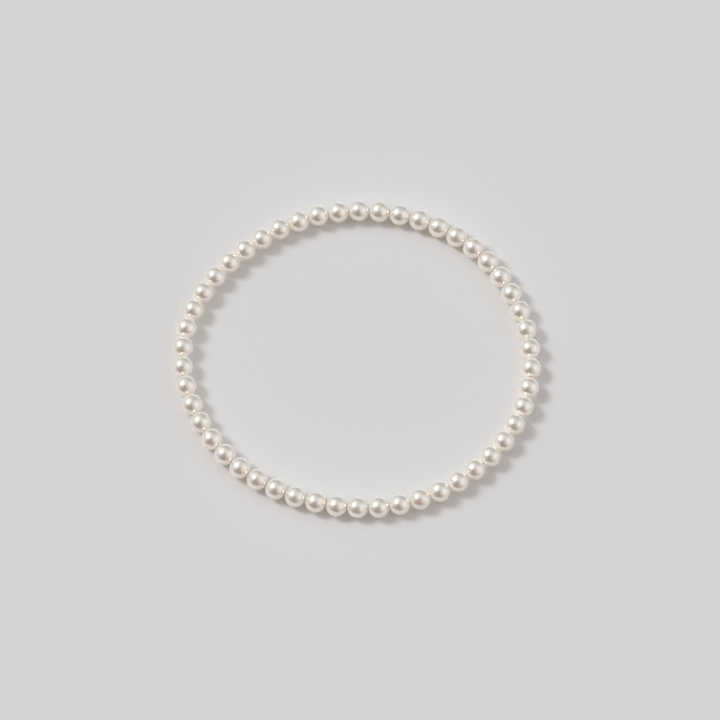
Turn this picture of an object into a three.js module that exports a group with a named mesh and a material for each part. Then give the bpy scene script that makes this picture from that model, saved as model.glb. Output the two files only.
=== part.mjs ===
// A pearl anklet: fifty round pearls of one size, drilled through and strung on a closed loop of
// elastic cord, lying flat and relaxed. There is no clasp: the cord stretches over the heel, and its
// knot hides in the wider mouth of the last pearl's hole.
//
// Millimetres, +Z up. The origin is on the surface that the anklet lies on, at the middle of the
// loop's box. +X runs along the loop's longer way.
//
// The pearls are five runs of ten. In a run, neighbouring pearls are joined by a short neck round the
// cord's hole, where real pearls press together. The cord is a piece of its own in that hole. Both are
// turned as straight solids lengthways along Y, and are then laid along the loop.

import * as THREE from "three";

// Driving dimensions
const PEARL_COUNT = 50;
const PEARL_DIAMETER = 5;
const RUN_COUNT = 5; // solids that the pearls are joined into
const HOLE_DIAMETER = 1;
const NECK_DIAMETER = 1.8; // where two pearls of a run press together
const CORD_DIAMETER = 0.6;
const KNOT_DIAMETER = 1.1;
const KNOT_HOLE_DIAMETER = 1.6; // widened mouth of the last pearl's hole
const KNOT_HOLE_DEPTH = 2.2;
const KNOT_DEPTH = 1.2; // from the last pearl's end to the knot's middle

// The loop is a circle with a few low waves on its radius, as a strand laid down by hand has.
// lobes: waves in one turn; height: share of the mean radius; turn: degrees from +X to a crest.
const LOOP_WAVES = [
  { lobes: 2, height: 0.045, turn: 0 },
  { lobes: 3, height: 0.0084, turn: -53 },
  { lobes: 4, height: 0.0048, turn: -7 },
  { lobes: 6, height: 0.0032, turn: -12 },
];
const FIRST_PEARL = 0.45; // pearls' lengths along the loop from +X to the first pearl's middle
const LOOP_DIVISIONS = 3000; // for the loop's length

// Facets
const PEARL_SIDES = 12; // round the hole; even, so that one flat faces down and one up
const PEARL_BANDS = 7; // from neck to neck; odd, so that one band is at the pearl's middle
const CORD_SIDES = 8;
const CORD_RINGS_PER_PEARL = 2;
const KNOT_RINGS = 5;

const PEARL_RADIUS = PEARL_DIAMETER / 2;
const PEARLS_PER_RUN = PEARL_COUNT / RUN_COUNT;
const UP = new THREE.Vector3(0, 0, 1);

const pearlMaterial = new THREE.MeshStandardMaterial({
  name: "pearl",
  color: 0xe9e0d3,
  roughness: 0.22,
  metalness: 0.15,
});
const elasticMaterial = new THREE.MeshStandardMaterial({
  name: "elastic",
  color: 0xe4e2dc,
  roughness: 0.45,
  metalness: 0,
});

// The cord's route: through the middle of every pearl, one pearl's radius above the surface.
class Loop extends THREE.Curve {
  constructor(meanRadius) {
    super();
    this.meanRadius = meanRadius;
    this.middle = new THREE.Vector3();
    this.arcLengthDivisions = LOOP_DIVISIONS;
  }

  getPoint(t, target = new THREE.Vector3()) {
    const angle = 2 * Math.PI * t;
    const swell = LOOP_WAVES.reduce((sum, wave) => {
      const fromCrest = angle - THREE.MathUtils.degToRad(wave.turn);
      return sum + wave.height * Math.cos(wave.lobes * fromCrest);
    }, 0);
    return target
      .set(Math.cos(angle), Math.sin(angle), 0)
      .multiplyScalar(this.meanRadius * (1 + swell))
      .sub(this.middle)
      .setZ(PEARL_RADIUS);
  }
}

// A pearl's number, from 0, as a share of the loop's length. Halves are the joints between pearls.
function shareAt(pearl) {
  return THREE.MathUtils.euclideanModulo((pearl + FIRST_PEARL) / PEARL_COUNT, 1);
}

// The loop as long as its pearls in a row, with the middle of the pearls' box above the origin.
function strungLoop() {
  const made = new Loop((PEARL_COUNT * PEARL_DIAMETER) / new Loop(1).getLength());
  const middles = Array.from({ length: PEARL_COUNT }, (_, i) => made.getPointAt(shareAt(i)));
  new THREE.Box3().setFromPoints(middles).getCenter(made.middle);
  return made;
}

const loop = strungLoop();

// The frame of the loop at a pearl's number: X across, Y along the cord, Z up.
function frameAt(pearl) {
  const share = shareAt(pearl);
  const along = loop.getTangentAt(share);
  const across = new THREE.Vector3().crossVectors(along, UP);
  return new THREE.Matrix4().makeBasis(across, along, UP).setPosition(loop.getPointAt(share));
}

// Bends a straight solid onto the loop. stationOf gives the pearl's number whose frame carries the
// points at a given place, counted in pearls, along the solid.
function layAlongLoop(geometry, stationOf) {
  const position = geometry.getAttribute("position");
  const point = new THREE.Vector3();
  for (let i = 0; i < position.count; i++) {
    point.fromBufferAttribute(position, i);
    const station = stationOf(point.y / PEARL_DIAMETER);
    point.y -= station * PEARL_DIAMETER;
    position.setXYZ(i, ...point.applyMatrix4(frameAt(station)));
  }
  geometry.computeVertexNormals();
  return geometry;
}

// A lathe solid whose flats, and not its corners, are at the outline's radii, with a flat facing down.
function turned(outline, sides) {
  const cornerShare = 1 / Math.cos(Math.PI / sides);
  const corners = outline.map(({ x, y }) => new THREE.Vector2(x * cornerShare, y));
  return new THREE.LatheGeometry(corners, sides, Math.PI / sides);
}

function namedMesh(name, geometry, material) {
  const mesh = new THREE.Mesh(geometry, material);
  mesh.name = name;
  return mesh;
}

// How far from a pearl's middle its surface is at a given radius from the hole's axis.
function halfLengthAt(radius) {
  return Math.sqrt(PEARL_RADIUS ** 2 - radius ** 2);
}

// The outside of one pearl from neck to neck, in bands that touch the true sphere.
function pearlOutline(middle) {
  const start = Math.asin(NECK_DIAMETER / PEARL_DIAMETER);
  const bandAngle = (Math.PI - 2 * start) / PEARL_BANDS;
  const cornerRadius = PEARL_RADIUS / Math.cos(bandAngle / 2);
  return Array.from({ length: PEARL_BANDS + 1 }, (_, i) => {
    const angle = start + i * bandAngle;
    return new THREE.Vector2(
      cornerRadius * Math.sin(angle),
      middle - cornerRadius * Math.cos(angle),
    );
  });
}

// The wall of one pearl's hole, which runs straight from neck to neck.
function holeOutline(middle) {
  const neckPlace = halfLengthAt(NECK_DIAMETER / 2);
  return [-neckPlace, neckPlace].map((y) => new THREE.Vector2(HOLE_DIAMETER / 2, middle + y));
}

// Ten pearls joined at their necks, with one hole through them all. The outline goes up the outside
// and back down the hole, and closes on itself.
function pearlRun(run) {
  const first = run * PEARLS_PER_RUN;
  const middles = Array.from({ length: PEARLS_PER_RUN }, (_, i) => (first + i) * PEARL_DIAMETER);
  const near = middles[0];
  const far = middles[PEARLS_PER_RUN - 1];
  const hasKnot = run === RUN_COUNT - 1;
  const mouthRadius = (hasKnot ? KNOT_HOLE_DIAMETER : HOLE_DIAMETER) / 2;
  const knotHoleEnd = far + PEARL_RADIUS - KNOT_HOLE_DEPTH;
  const knotHole = [
    new THREE.Vector2(mouthRadius, knotHoleEnd),
    new THREE.Vector2(HOLE_DIAMETER / 2, knotHoleEnd),
  ];
  const hole = middles.flatMap(holeOutline).filter(({ y }) => !hasKnot || y < knotHoleEnd);
  const nearRim = new THREE.Vector2(HOLE_DIAMETER / 2, near - halfLengthAt(HOLE_DIAMETER / 2));
  const farRim = new THREE.Vector2(mouthRadius, far + halfLengthAt(mouthRadius));
  const outline = [
    nearRim,
    ...middles.flatMap(pearlOutline),
    farRim,
    ...(hasKnot ? knotHole : []),
    ...hole.reverse(),
    nearRim,
  ];
  const straight = turned(outline, PEARL_SIDES);
  const [from, to] = [first + 1, first + PEARLS_PER_RUN].map((n) => String(n).padStart(2, "0"));
  return namedMesh(`pearls_${from}_to_${to}`, layAlongLoop(straight, Math.round), pearlMaterial);
}

// The elastic cord, once round the loop until its ends meet, with its knot in the last pearl.
function elasticCord() {
  const cordRadius = CORD_DIAMETER / 2;
  const knotRadius = KNOT_DIAMETER / 2;
  const knotMiddle = (PEARL_COUNT - 1) * PEARL_DIAMETER + PEARL_RADIUS - KNOT_DEPTH;
  const ringCount = PEARL_COUNT * CORD_RINGS_PER_PEARL;
  const cordRings = Array.from({ length: ringCount + 1 }, (_, i) => {
    return new THREE.Vector2(cordRadius, (i * PEARL_DIAMETER) / CORD_RINGS_PER_PEARL);
  });
  const knotStart = Math.asin(cordRadius / knotRadius);
  const knotRings = Array.from({ length: KNOT_RINGS }, (_, i) => {
    const angle = knotStart + (i / (KNOT_RINGS - 1)) * (Math.PI - 2 * knotStart);
    return new THREE.Vector2(
      knotRadius * Math.sin(angle),
      knotMiddle - knotRadius * Math.cos(angle),
    );
  });
  const outline = cordRings
    .filter(({ y }) => Math.abs(y - knotMiddle) > knotRadius)
    .concat(knotRings)
    .sort((a, b) => a.y - b.y);
  const laid = layAlongLoop(turned(outline, CORD_SIDES), (place) => place);
  return namedMesh("elastic_cord", laid, elasticMaterial);
}

const anklet = new THREE.Group();
anklet.name = "pearl_anklet";
for (let run = 0; run < RUN_COUNT; run++) anklet.add(pearlRun(run));
anklet.add(elasticCord());

export default anklet;
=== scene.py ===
# A pearl anklet: fifty round cream pearls strung edge to edge on a closed loop of elastic cord. It
# lies flat and relaxed on a pale surface, in the soft light of a studio.
import math

import bpy
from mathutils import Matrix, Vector


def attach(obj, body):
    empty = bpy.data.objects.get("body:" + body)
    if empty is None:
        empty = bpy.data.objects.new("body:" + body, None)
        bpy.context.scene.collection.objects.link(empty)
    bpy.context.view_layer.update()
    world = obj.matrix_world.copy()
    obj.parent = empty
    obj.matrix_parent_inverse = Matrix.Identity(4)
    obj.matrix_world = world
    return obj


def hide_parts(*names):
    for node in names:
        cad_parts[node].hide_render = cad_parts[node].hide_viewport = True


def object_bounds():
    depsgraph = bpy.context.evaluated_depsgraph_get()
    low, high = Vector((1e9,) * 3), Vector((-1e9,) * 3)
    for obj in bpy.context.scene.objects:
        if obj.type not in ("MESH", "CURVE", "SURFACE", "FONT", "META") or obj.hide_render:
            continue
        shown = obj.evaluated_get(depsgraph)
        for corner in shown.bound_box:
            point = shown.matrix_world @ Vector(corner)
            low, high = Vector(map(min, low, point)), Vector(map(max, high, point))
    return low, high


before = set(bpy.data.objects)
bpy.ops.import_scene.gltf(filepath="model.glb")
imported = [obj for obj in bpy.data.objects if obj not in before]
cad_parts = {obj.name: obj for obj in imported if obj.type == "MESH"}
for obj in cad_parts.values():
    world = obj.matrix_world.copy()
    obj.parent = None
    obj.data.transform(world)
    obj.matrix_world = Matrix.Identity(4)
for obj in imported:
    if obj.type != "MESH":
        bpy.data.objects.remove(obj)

cad_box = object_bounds()

# ------------------------------------------------------------------------------------------------
# The elastic cord. One strand of clear-white stretch cord, threaded once round through every pearl.
# Its ends are tied in a small knot, which is pulled into the wider mouth of the last pearl's hole.
# The strand is swept round the loop's line, and the knot is a small trefoil of the same strand.
# ------------------------------------------------------------------------------------------------
MM = 0.001
CORD_THICKNESS = 0.6 * MM
CORD_SIDES = 12
CORD_RINGS = 500
CORD_UNEVENNESS = 0.02 * MM
CORD_ROUGHNESS = 0.28
CLOUDS_ROUGHNESS = 0.2  # added where the cord is cloudy
CLEAR = (0.80, 0.78, 0.72)
CLOUDY = (0.90, 0.89, 0.86)
KNOT_STRAND = 0.34 * MM  # the strand is stretched thin where it is tied
KNOT_RADIUS = 0.25 * MM
KNOT_TURN_RADIUS = 0.12 * MM
KNOT_ROUNDS = 2  # a trefoil runs twice round the knot, and winds three times on the way
KNOT_WINDS = 3
KNOT_RINGS = 96
KNOT_FROM_END = 1.2 * MM  # back from where the last pearl meets the first
PEARL_COUNT = 50
PEARL_DIAMETER = (cad_box[1] - cad_box[0]).z
STRING_LENGTH = PEARL_COUNT * PEARL_DIAMETER
FIRST_PEARL = 0.45  # pearls' lengths along the loop from +X to the first pearl's middle
LINE_POINTS = 1800

# The loop is a circle with a few low waves on its radius, as a strand laid down by hand has.
# height is a share of the mean radius, and turn the degrees from +X to a crest.
LOOP_WAVES = (
    {"lobes": 2, "height": 0.045, "turn": 0},
    {"lobes": 3, "height": 0.0084, "turn": -53},
    {"lobes": 4, "height": 0.0048, "turn": -7},
    {"lobes": 6, "height": 0.0032, "turn": -12},
)


class Wire:
    """One output of a node. Arithmetic on wires and numbers adds Math nodes to the tree."""

    def __init__(self, wiring, socket):
        self.wiring = wiring
        self.socket = socket

    def __getitem__(self, output):
        return Wire(self.wiring, self.socket.node.outputs[output])

    def math(self, operation, *others):
        return self.wiring.math(operation, self, *others)

    def __add__(self, other):
        return self.wiring.math("ADD", self, other)

    def __sub__(self, other):
        return self.wiring.math("SUBTRACT", self, other)

    def __rsub__(self, other):
        return self.wiring.math("SUBTRACT", other, self)

    def __mul__(self, other):
        return self.wiring.math("MULTIPLY", self, other)

    def __truediv__(self, other):
        return self.wiring.math("DIVIDE", self, other)

    def __rtruediv__(self, other):
        return self.wiring.math("DIVIDE", other, self)

    __radd__ = __add__
    __rmul__ = __mul__


class Wiring:
    """A node tree that is being wired up."""

    def __init__(self, tree):
        self.tree = tree

    def node(self, kind, settings=None, inputs=None):
        """Adds a node: its settings, then its inputs by name or by place. Returns its first output."""
        node = self.tree.nodes.new(kind)
        for name, value in (settings or {}).items():
            if name == "stops":
                ramp = node.color_ramp
                while len(ramp.elements) < len(value):
                    ramp.elements.new(1)
                for element, (place, colour) in zip(ramp.elements, value):
                    element.position = place
                    element.color = (*colour, 1)
            else:
                setattr(node, name, value)
        used = [socket for socket in node.inputs if socket.enabled]
        for key, value in (inputs or {}).items():
            found = used[key] if isinstance(key, int) else next(s for s in used if s.name == key)
            for each in value if isinstance(value, list) else [value]:
                if isinstance(each, Wire):
                    self.tree.links.new(each.socket, found)
                else:
                    found.default_value = each
        outputs = [socket for socket in node.outputs if socket.enabled]
        return Wire(self, outputs[0]) if outputs else None

    def math(self, operation, *values):
        return self.node("ShaderNodeMath", {"operation": operation}, dict(enumerate(values)))

    def vector(self, operation, *values):
        return self.node("ShaderNodeVectorMath", {"operation": operation}, dict(enumerate(values)))


def geometry_tree(name, inputs):
    """A Geometry Nodes tree with these named inputs, given as name: kind of socket."""
    tree = bpy.data.node_groups.new(name, "GeometryNodeTree")
    for label, kind in inputs.items():
        tree.interface.new_socket(name=label, in_out="INPUT", socket_type="NodeSocket" + kind)
    tree.interface.new_socket(name="Geometry", in_out="OUTPUT", socket_type="NodeSocketGeometry")
    wiring = Wiring(tree)
    return tree, wiring, wiring.node("NodeGroupInput")


def circle(w, points, radius):
    return w.node("GeometryNodeCurvePrimitiveCircle", None, {"Resolution": points, "Radius": radius})


LINE_INPUTS = {"Length": "Float", "Pearls": "Int", "First pearl": "Float", "Middle": "Vector"}


def anklet_line():
    """The tree of the cord's closed route, with the middle of the pearls' box at a given place."""
    tree, w, given = geometry_tree("anklet_line", LINE_INPUTS)
    angle = w.node("GeometryNodeInputIndex") * (math.tau / LINE_POINTS)
    swell = 1
    for wave in LOOP_WAVES:
        from_crest = (angle - math.radians(wave["turn"])) * wave["lobes"]
        swell = swell + from_crest.math("COSINE") * wave["height"]
    swollen = w.vector("SCALE", w.node("GeometryNodeInputPosition"), swell)
    waved = {"Geometry": circle(w, LINE_POINTS, 1), "Position": swollen}
    unit = w.node("GeometryNodeSetPosition", None, waved)
    size = given["Length"] / w.node("GeometryNodeCurveLength", None, {"Curve": unit})
    grown = w.node("GeometryNodeTransform", None, {"Geometry": unit, "Scale": size})
    every = w.node("GeometryNodePoints", None, {"Count": given["Pearls"]})
    share = (w.node("GeometryNodeInputIndex") + given["First pearl"]) / given["Pearls"]
    middle = w.node("GeometryNodeSampleCurve", {"mode": "FACTOR"}, {"Curves": grown, "Factor": share})
    strung = {"Geometry": every, "Position": middle["Position"]}
    pearls = w.node("GeometryNodeSetPosition", None, strung)
    box = w.node("GeometryNodeBoundBox", None, {"Geometry": pearls})
    box_middle = w.vector("SCALE", w.vector("ADD", box["Min"], box["Max"]), 0.5)
    shift = w.vector("SUBTRACT", given["Middle"], box_middle)
    placed = w.node("GeometryNodeTransform", None, {"Geometry": grown, "Translation": shift})
    w.node("NodeGroupOutput", None, {"Geometry": placed})
    return tree


line_tree = anklet_line()


def anklet_line_in(w, given):
    """The cord's route in another tree that has the same inputs."""
    route = {name: given[name] for name in LINE_INPUTS}
    return w.node("GeometryNodeGroup", {"node_tree": line_tree}, route)


def strand_along(w, line, thickness):
    """The cord's round strand, swept along a line."""
    section = circle(w, CORD_SIDES, thickness * 0.5)
    return w.node("GeometryNodeCurveToMesh", None, {"Curve": line, "Profile Curve": section})


def cord_tree():
    sizes = ("Thickness", "Knot place", "Knot strand", "Knot radius", "Knot turn radius")
    inputs = {**LINE_INPUTS, **dict.fromkeys(sizes, "Float"), "Material": "Material"}
    tree, w, given = geometry_tree("elastic_cord", inputs)
    line = anklet_line_in(w, given)
    rings = w.node("GeometryNodeResampleCurve", None, {"Curve": line, "Count": CORD_RINGS})
    strand = strand_along(w, rings, given["Thickness"])

    # The knot's trefoil lies across the cord, round the place where the ends are tied.
    turn = w.node("GeometryNodeInputIndex") * (math.tau / KNOT_RINGS)
    winds = turn * KNOT_WINDS
    rounds = turn * KNOT_ROUNDS
    reach = winds.math("COSINE") * given["Knot turn radius"] + given["Knot radius"]
    trefoil = w.node(
        "ShaderNodeCombineXYZ",
        None,
        {
            "X": rounds.math("COSINE") * reach,
            "Y": winds.math("SINE") * given["Knot turn radius"],
            "Z": rounds.math("SINE") * reach,
        },
    )
    wound = {"Geometry": circle(w, KNOT_RINGS, 1), "Position": trefoil}
    knot = strand_along(w, w.node("GeometryNodeSetPosition", None, wound), given["Knot strand"])
    place = w.node(
        "GeometryNodeSampleCurve", {"mode": "LENGTH"}, {"Curves": line, "Length": given["Knot place"]}
    )
    facing = w.node("FunctionNodeAlignRotationToVector", {"axis": "Y"}, {"Vector": place["Tangent"]})
    tied = w.node(
        "GeometryNodeTransform",
        None,
        {"Geometry": knot, "Translation": place["Position"], "Rotation": facing},
    )
    both = w.node("GeometryNodeJoinGeometry", None, {"Geometry": [strand, tied]})
    smooth = w.node("GeometryNodeSetShadeSmooth", None, {"Geometry": both})
    whole = w.node("GeometryNodeRealizeInstances", None, {"Geometry": smooth})
    finished = {"Geometry": whole, "Material": given["Material"]}
    w.node("NodeGroupOutput", None, {"Geometry": w.node("GeometryNodeSetMaterial", None, finished)})
    return tree


def new_object(name, data):
    """An object in the scene, with this mesh, light or camera."""
    made = bpy.data.objects.new(name, data)
    bpy.context.scene.collection.objects.link(made)
    return made


def grown_piece(name, tree, inputs):
    """Runs a tree once, and keeps its result as the plain mesh of a new object."""
    piece = new_object(name, bpy.data.meshes.new(name))
    modifier = piece.modifiers.new("grown", "NODES")
    modifier.node_group = tree
    for socket in tree.interface.items_tree:
        if socket.in_out == "INPUT":
            modifier[socket.identifier] = inputs[socket.name]
    grown = piece.evaluated_get(bpy.context.evaluated_depsgraph_get())
    mesh = bpy.data.meshes.new_from_object(grown)
    piece.modifiers.remove(modifier)
    piece.data = mesh
    mesh.name = name
    return piece


def new_material(name, constants):
    """A material with its Principled shader's constants set. Returns it, its wiring and the shader."""
    material = bpy.data.materials.new(name)
    material.use_nodes = True
    shader = material.node_tree.nodes["Principled BSDF"]
    for label, value in constants.items():
        shader.inputs[label].default_value = value
    return material, Wiring(material.node_tree), shader


def link_to(shader, wires):
    """Links wires to a shader's sockets, given as name of socket: wire."""
    for label, wire in wires.items():
        wire.wiring.tree.links.new(wire.socket, shader.inputs[label])


def elastic():
    """Clear-white elastic, cloudy in places, and finely uneven all over."""
    constants = {
        "IOR": 1.5,
        "Subsurface Weight": 0.5,
        "Subsurface Radius": (1, 0.9, 0.8),
        "Subsurface Scale": 0.3 * MM,
    }
    material, w, shader = new_material("elastic", constants)
    place = w.node("ShaderNodeTexCoord")["Object"]
    uneven = w.node("ShaderNodeTexNoise", None, {"Vector": place, "Scale": 9000, "Detail": 2})
    cloudy = w.node("ShaderNodeTexNoise", None, {"Vector": place, "Scale": 500, "Detail": 3})
    clouds = {"stops": [(0.3, CLEAR), (0.7, CLOUDY)]}
    relief = {"Height": uneven, "Strength": 0.4, "Distance": CORD_UNEVENNESS}
    varying = {
        "Base Color": w.node("ShaderNodeValToRGB", clouds, {"Fac": cloudy}),
        "Roughness": CORD_ROUGHNESS + cloudy * CLOUDS_ROUGHNESS,
        "Normal": w.node("ShaderNodeBump", None, relief),
    }
    link_to(shader, varying)
    return material


route = {
    "Length": STRING_LENGTH,
    "Pearls": PEARL_COUNT,
    "First pearl": FIRST_PEARL,
    "Middle": (0, 0, PEARL_DIAMETER / 2),
}
elastic_cord = grown_piece(
    "stretch_cord",
    cord_tree(),
    {
        **route,
        "Thickness": CORD_THICKNESS,
        "Knot place": STRING_LENGTH + (FIRST_PEARL - 0.5) * PEARL_DIAMETER - KNOT_FROM_END,
        "Knot strand": KNOT_STRAND,
        "Knot radius": KNOT_RADIUS,
        "Knot turn radius": KNOT_TURN_RADIUS,
        "Material": elastic(),
    },
)
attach(elastic_cord, "root")
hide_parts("elastic_cord")


# ------------------------------------------------------------------------------------------------
# The pearls. Fifty round pearls of one size, each drilled through its middle and strung tight, so
# that each touches the next. A run of ten stands for each joined run of the frame. The last pearl's
# hole is opened wider at one end, and takes the knot. A pearl is its section turned round the hole.
# ------------------------------------------------------------------------------------------------
RUN_NODES = (
    "pearls_01_to_10",
    "pearls_11_to_20",
    "pearls_21_to_30",
    "pearls_31_to_40",
    "pearls_41_to_50",
)
HOLE_DIAMETER = 1.0 * MM
HOLE_LIP = 0.04 * MM  # the nacre's edge is worn round where the hole breaks out
LIP_FACETS = 3
KNOT_MOUTH_DIAMETER = 1.6 * MM
KNOT_MOUTH_DEPTH = 2.2 * MM
SIDES_ROUND_HOLE = 56
POINTS_ALONG_SECTION = 29
PEARL_SIZES = (1.010, 1.018)  # shares of the pitch: drawn tight, the rims of two holes just meet
SIDEWAYS = 0.05 * MM  # how far a pearl sits off the smooth line
OUT_OF_ROUND = 0.012 * MM
PEARL_SEED = 7
TONES_APART = 100  # the pearls' tones are spread this far through the noise, so no two are alike
SPINE_SHARE = 0.25  # radius of the ring a section is turned round, as a share of the hole's diameter

# The nacre's skin, from rosy through cream to greenish, and the bare wall of the drilled hole.
ROSY = (1.0, 0.92, 0.88)
CREAM = (0.985, 0.947, 0.868)
GREENISH = (0.97, 0.962, 0.86)
SKIN_ROUGHNESS = 0.23
SKIN_ROUGHNESS_DRIFT = 0.06
SKIN_METALLIC = 0.7
SKIN_COAT = 0.12
SKIN_UNEVENNESS = 0.01 * MM
GROWTH_RINGS = 0.8  # depth of the faint rings round the hole, beside the skin's own unevenness
GROWTH_SCALES = (1.2, 1.2, 14)  # the rings lie close together along the hole
WALL = (0.86, 0.80, 0.70, 1)
WALL_ROUGHNESS = 0.7
WALL_ENDS = 0.96  # distance from the pearl's middle, as a share of its radius
SKIN_STARTS = 0.985


def is_number(wire, number):
    """1 where a whole number is this one, and 0 elsewhere."""
    return wire.math("COMPARE", number, 0.5)


def pearl_shape(w, diameter, hole, mouth=None, mouth_depth=None):
    """One pearl, with its hole along Z. The hole may open into a wider mouth at the top."""
    radius = diameter * 0.5
    foot = (hole / diameter).math("ARCSINE")
    top = ((mouth or hole) / diameter).math("ARCSINE")
    index = w.node("GeometryNodeInputIndex")
    turn = index * ((math.pi - foot - top) / (POINTS_ALONG_SECTION - 1)) + foot
    outside = index.math("LESS_THAN", POINTS_ALONG_SECTION)
    across = turn.math("SINE") * radius * outside
    height = turn.math("COSINE") * radius * -1 * outside
    points = POINTS_ALONG_SECTION
    if mouth:
        # Two more points: down the mouth's wall to its floor, and across the floor to the hole.
        points += 2
        step = radius * top.math("COSINE") - mouth_depth
        at_wall = is_number(index, POINTS_ALONG_SECTION)
        at_hole = is_number(index, POINTS_ALONG_SECTION + 1)
        across = across + (at_wall * mouth + at_hole * hole) * 0.5
        height = height + (at_wall + at_hole) * step
    spine_radius = hole * SPINE_SHARE
    place = w.node("ShaderNodeCombineXYZ", None, {"X": across - spine_radius, "Y": height})
    line = w.node("GeometryNodeCurvePrimitiveLine")
    dotted = w.node("GeometryNodeResampleCurve", None, {"Curve": line, "Count": points})
    bent = w.node("GeometryNodeSetPosition", None, {"Geometry": dotted, "Position": place})
    closed = w.node("GeometryNodeSetSplineCyclic", None, {"Geometry": bent, "Cyclic": True})

    # Both lips of the hole are worn round, and so are the corners inside the mouth.
    lower_lip = index.math("LESS_THAN", 1)
    upper_lip = index.math("GREATER_THAN", POINTS_ALONG_SECTION - 2)
    worn = {
        "Curve": closed,
        "Radius": (lower_lip + upper_lip) * HOLE_LIP,
        "Count": LIP_FACETS,
        "Limit Radius": True,
    }
    section = w.node("GeometryNodeFilletCurve", {"mode": "POLY"}, worn)
    spine = circle(w, SIDES_ROUND_HOLE, spine_radius)
    upright = w.node("GeometryNodeSetCurveNormal", {"mode": "Z_UP"}, {"Curve": spine})
    turned = w.node("GeometryNodeCurveToMesh", None, {"Curve": upright, "Profile Curve": section})
    in_pearl = w.vector("SCALE", w.node("GeometryNodeInputPosition"), 1 / radius)
    return w.node(
        "GeometryNodeStoreNamedAttribute",
        {"data_type": "FLOAT_VECTOR", "domain": "POINT"},
        {"Geometry": turned, "Name": "in_pearl", "Value": in_pearl},
    )


def pearls_tree():
    inputs = {
        **LINE_INPUTS,
        **dict.fromkeys(("Diameter", "Hole", "Mouth", "Mouth depth"), "Float"),
        **dict.fromkeys(("Run start", "Run pearls", "Seed"), "Int"),
        "Material": "Material",
    }
    tree, w, given = geometry_tree("strung_pearls", inputs)
    line = anklet_line_in(w, given)
    number = w.node("GeometryNodeInputIndex") + given["Run start"]

    def chance(low, high, stream):
        limits = {"Min": low, "Max": high, "ID": number, "Seed": given["Seed"] + stream}
        return w.node("FunctionNodeRandomValue", {"data_type": "FLOAT"}, limits)

    share = (number + given["First pearl"]) / given["Pearls"]
    on_line = w.node("GeometryNodeSampleCurve", {"mode": "FACTOR"}, {"Curves": line, "Factor": share})
    scale = chance(*PEARL_SIZES, stream=0)
    sideways = w.vector("CROSS_PRODUCT", on_line["Tangent"], (0, 0, 1))
    aside = w.vector("SCALE", sideways, chance(-SIDEWAYS, SIDEWAYS, stream=1))
    sunk = w.node("ShaderNodeCombineXYZ", None, {"Z": given["Diameter"] * 0.5 * (scale - 1)})
    place = w.vector("ADD", on_line["Position"], w.vector("ADD", aside, sunk))
    places = w.node("GeometryNodePoints", None, {"Count": given["Run pearls"], "Position": place})
    tone = {"Geometry": places, "Name": "tone", "Value": chance(0, 1, stream=3)}
    points = w.node("GeometryNodeStoreNamedAttribute", {"domain": "POINT"}, tone)
    along = w.node("FunctionNodeAlignRotationToVector", {"axis": "Z"}, {"Vector": on_line["Tangent"]})
    spin = {"Axis": (0, 0, 1), "Angle": chance(0, math.tau, stream=2)}
    spun = w.node(
        "FunctionNodeRotateRotation",
        {"rotation_space": "LOCAL"},
        {"Rotation": along, "Rotate By": w.node("FunctionNodeAxisAngleToRotation", None, spin)},
    )
    takes_knot = is_number(number, given["Pearls"] - 1)
    plain = pearl_shape(w, given["Diameter"], given["Hole"])
    wide = pearl_shape(w, given["Diameter"], given["Hole"], given["Mouth"], given["Mouth depth"])
    common = {"Points": points, "Rotation": spun, "Scale": scale}
    strung = [
        w.node("GeometryNodeInstanceOnPoints", None, {**common, "Selection": chosen, "Instance": shape})
        for chosen, shape in ((1 - takes_knot, plain), (takes_knot, wide))
    ]
    both = w.node("GeometryNodeJoinGeometry", None, {"Geometry": strung})
    whole = w.node("GeometryNodeRealizeInstances", None, {"Geometry": both})
    stored = {"data_type": "FLOAT_VECTOR"}
    in_pearl = w.node("GeometryNodeInputNamedAttribute", stored, {"Name": "in_pearl"})
    own_tone = w.node("GeometryNodeInputNamedAttribute", {"data_type": "FLOAT"}, {"Name": "tone"})
    swell = w.node(
        "ShaderNodeTexNoise",
        {"noise_dimensions": "4D"},
        {"Vector": in_pearl, "W": own_tone * TONES_APART, "Scale": 0.8, "Detail": 1},
    )
    offset = w.vector("SCALE", w.node("GeometryNodeInputNormal"), (swell - 0.5) * OUT_OF_ROUND)
    natural = w.node("GeometryNodeSetPosition", None, {"Geometry": whole, "Offset": offset})
    smooth = w.node("GeometryNodeSetShadeSmooth", None, {"Geometry": natural})
    finished = {"Geometry": smooth, "Material": given["Material"]}
    w.node("NodeGroupOutput", None, {"Geometry": w.node("GeometryNodeSetMaterial", None, finished)})
    return tree


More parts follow.
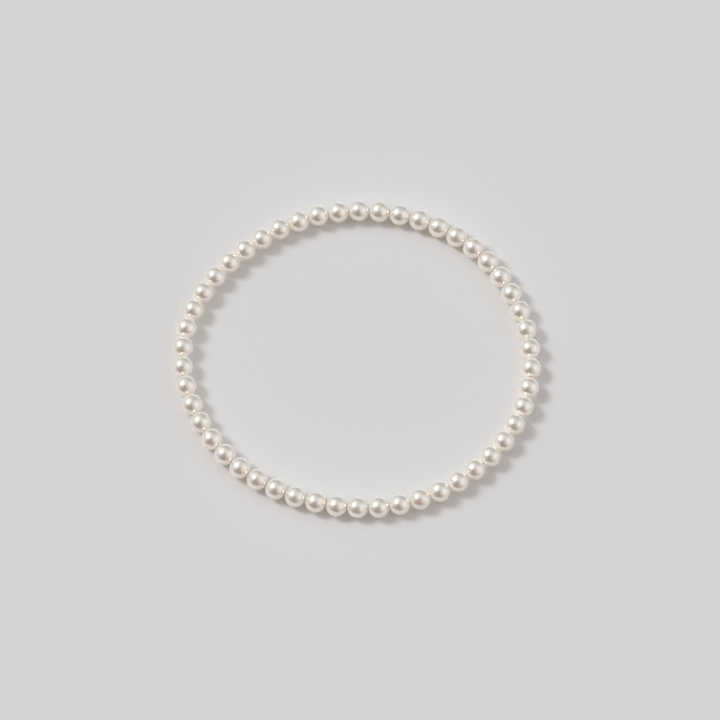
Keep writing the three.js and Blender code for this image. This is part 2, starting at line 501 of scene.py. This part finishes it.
def nacre():
    """Cream nacre with a rosy or greenish cast that drifts over each pearl, and a bare drilled hole.

    Its many thin layers shine like soft metal, and pale towards the edge, which the sheen gives. The
    faint warm glow is painted light: an even emission over all the nacre, standing in for the light
    that goes in and comes out again warmer, so that even the narrow joins are not dark.
    """
    constants = {
        "Coat Roughness": 0.2,
        "Coat IOR": 1.6,
        "Sheen Weight": 1.0,
        "Sheen Roughness": 0.68,
        # painted glow: the nacre gives off a faint warm light of its own, in place of light passing
        # through it
        "Emission Color": (1.0, 0.82, 0.63, 1.0),
        "Emission Strength": 0.085,
    }
    material, w, shader = new_material("nacre", constants)
    in_pearl = w.node("ShaderNodeAttribute", {"attribute_name": "in_pearl"})["Vector"]
    tone = w.node("ShaderNodeAttribute", {"attribute_name": "tone"})["Fac"]

    def drift(scale, detail, stream):
        shift = tone * TONES_APART + stream
        place = {"Vector": in_pearl, "W": shift, "Scale": scale, "Detail": detail}
        return w.node("ShaderNodeTexNoise", {"noise_dimensions": "4D"}, place)

    casts = {"stops": [(0.38, ROSY), (0.5, CREAM), (0.62, GREENISH)]}
    lustre = w.node("ShaderNodeValToRGB", casts, {"Fac": drift(scale=0.7, detail=2, stream=0)})
    from_middle = w.vector("LENGTH", in_pearl)
    outwards = {"Value": from_middle, "From Min": WALL_ENDS, "From Max": SKIN_STARTS}
    skin = w.node("ShaderNodeMapRange", None, outwards)
    polish = SKIN_ROUGHNESS + drift(scale=3, detail=2, stream=5) * SKIN_ROUGHNESS_DRIFT
    along_hole = w.vector("MULTIPLY", in_pearl, GROWTH_SCALES)
    rings = {"Vector": along_hole, "W": tone * TONES_APART, "Scale": 1, "Detail": 2}
    growth = w.node("ShaderNodeTexNoise", {"noise_dimensions": "4D"}, rings)
    height = drift(scale=9, detail=3, stream=9) + growth * GROWTH_RINGS
    relief = {"Height": height, "Strength": 0.15, "Distance": SKIN_UNEVENNESS}
    layers = {"Factor": skin, "A": WALL, "B": lustre}
    varying = {
        "Base Color": w.node("ShaderNodeMix", {"data_type": "RGBA"}, layers),
        "Roughness": polish * skin + (1 - skin) * WALL_ROUGHNESS,
        "Metallic": skin * SKIN_METALLIC,
        "Coat Weight": skin * SKIN_COAT,
        "Normal": w.node("ShaderNodeBump", None, relief),
    }
    link_to(shader, varying)
    return material


string_tree = pearls_tree()
nacre_material = nacre()
run_pearls = PEARL_COUNT // len(RUN_NODES)
for place, node in enumerate(RUN_NODES):
    run = grown_piece(
        node.replace("pearls", "nacre_pearls"),
        string_tree,
        {
            **route,
            "Diameter": PEARL_DIAMETER,
            "Hole": HOLE_DIAMETER,
            "Mouth": KNOT_MOUTH_DIAMETER,
            "Mouth depth": KNOT_MOUTH_DEPTH,
            "Run start": place * run_pearls,
            "Run pearls": run_pearls,
            "Seed": PEARL_SEED,
            "Material": nacre_material,
        },
    )
    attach(run, "root")
    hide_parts(node)


# ------------------------------------------------------------------------------------------------
# The surface and the light. A pale matt tabletop, lit by a lamp and a broad soft bank from the left,
# a softbox with a wide soft edge from the right, and a weak one overhead. The room is dim, and brown
# on the near side. The camera looks down steeply from far away.
# ------------------------------------------------------------------------------------------------
FLOOR_SIDE = 8.0
FLOOR_GREY = (0.902, 0.902, 0.902)
FLOOR_SPECKS = (0.894, 0.896, 0.898)
FLOOR_ROUGHNESS = 0.75
SPECKS_ROUGHNESS = 0.1
COOL_WHITE = (0.96, 0.98, 1.0)
COLD_WHITE = (0.92, 0.96, 1.0)
FROM_RIGHT = (0.837, -0.224, 0.5)
FAR_WALL = (0.175, 0.168, 0.16)
SIDE_WALLS = (0.12, 0.12, 0.12)
NEAR_WALL = (0.08, 0.027, 0.0)
BACKDROP = (0.66, 0.66, 0.66, 1)
BOUNCES = 12  # light bounces many times between two pearls before it leaves their join
CAMERA_SENSOR = 36  # millimetres, and so is the lens
CAMERA_LENS = 187
CAMERA_ELEVATION = math.radians(68.95)
CAMERA_DISTANCE = 0.8949
CAMERA_AIM = Vector((0.76, -0.74, 2.5)) * MM


def tabletop():
    material, w, shader = new_material("tabletop", {"Specular IOR Level": 0.2})
    place = w.node("ShaderNodeTexCoord")["Object"]
    speck = w.node("ShaderNodeTexNoise", None, {"Vector": place, "Scale": 300, "Detail": 3})
    greys = {"stops": [(0.2, FLOOR_SPECKS), (0.8, FLOOR_GREY)]}
    colour = w.node("ShaderNodeValToRGB", greys, {"Fac": speck})
    roughness = FLOOR_ROUGHNESS + speck * SPECKS_ROUGHNESS
    link_to(shader, {"Base Color": colour, "Roughness": roughness})
    half = FLOOR_SIDE / 2
    corners = [(-half, -half, 0), (half, -half, 0), (half, half, 0), (-half, half, 0)]
    mesh = bpy.data.meshes.new("tabletop")
    mesh.from_pydata(corners, [], [(0, 1, 2, 3)])
    mesh.materials.append(material)
    floor = new_object("tabletop", mesh)


def softbox(name, towards, width, strength, colour=COOL_WHITE):
    """A round softbox so far away that its light is the same all over the table.

    towards points from the table to the softbox, and width is in degrees.
    """
    data = bpy.data.lights.new(name, "SUN")
    data.angle = math.radians(width)
    data.energy = strength
    data.color = colour
    light = new_object(name, data)
    light.rotation_mode = "QUATERNION"
    light.rotation_quaternion = Vector(towards).to_track_quat("Z", "Y")


def room():
    """The dim room, from its grey far wall to its brown near one. The camera sees a pale backdrop."""
    world = bpy.data.worlds.new("room")
    world.use_nodes = True
    w = Wiring(world.node_tree)
    sky = world.node_tree.nodes["Background"]
    direction = w.node("ShaderNodeTexCoord")["Generated"]
    towards = w.node("ShaderNodeSeparateXYZ", None, {"Vector": direction})
    walls = {"stops": [(0, FAR_WALL), (0.5, SIDE_WALLS), (0.7, NEAR_WALL)]}
    room_light = w.node("ShaderNodeValToRGB", walls, {"Fac": 0.5 - towards["Y"] * 0.5})
    seen = w.node("ShaderNodeLightPath")["Is Camera Ray"]
    colours = {"Factor": seen, "A": room_light, "B": BACKDROP}
    link_to(sky, {"Color": w.node("ShaderNodeMix", {"data_type": "RGBA"}, colours)})
    bpy.context.scene.world = world


def camera():
    data = bpy.data.cameras.new("camera")
    data.lens = CAMERA_LENS
    data.sensor_width = CAMERA_SENSOR
    data.clip_start = 0.05
    data.clip_end = 20
    seen_from = new_object("camera", data)
    back = Vector((0, -math.cos(CAMERA_ELEVATION), math.sin(CAMERA_ELEVATION)))
    seen_from.location = CAMERA_AIM + back * CAMERA_DISTANCE
    seen_from.rotation_euler = (math.pi / 2 - CAMERA_ELEVATION, 0, 0)
    bpy.context.scene.camera = seen_from


tabletop()
softbox("main_lamp", towards=(-0.618, 0.241, 0.747), width=18, strength=1.03)
softbox("left_bank", towards=(-0.77, 0.28, 0.574), width=90, strength=0.66)
softbox("right_bank", towards=FROM_RIGHT, width=110, strength=0.66)
softbox("right_softbox", towards=FROM_RIGHT, width=65, strength=0.44, colour=COLD_WHITE)
softbox("overhead", towards=(-0.25, 0.42, 0.87), width=80, strength=0.365)
room()
camera()
scene = bpy.context.scene
scene.view_settings.view_transform = "Standard"
scene.cycles.glossy_bounces = BOUNCES
scene.cycles.diffuse_bounces = BOUNCES
scene.cycles.max_bounces = 2 * BOUNCES
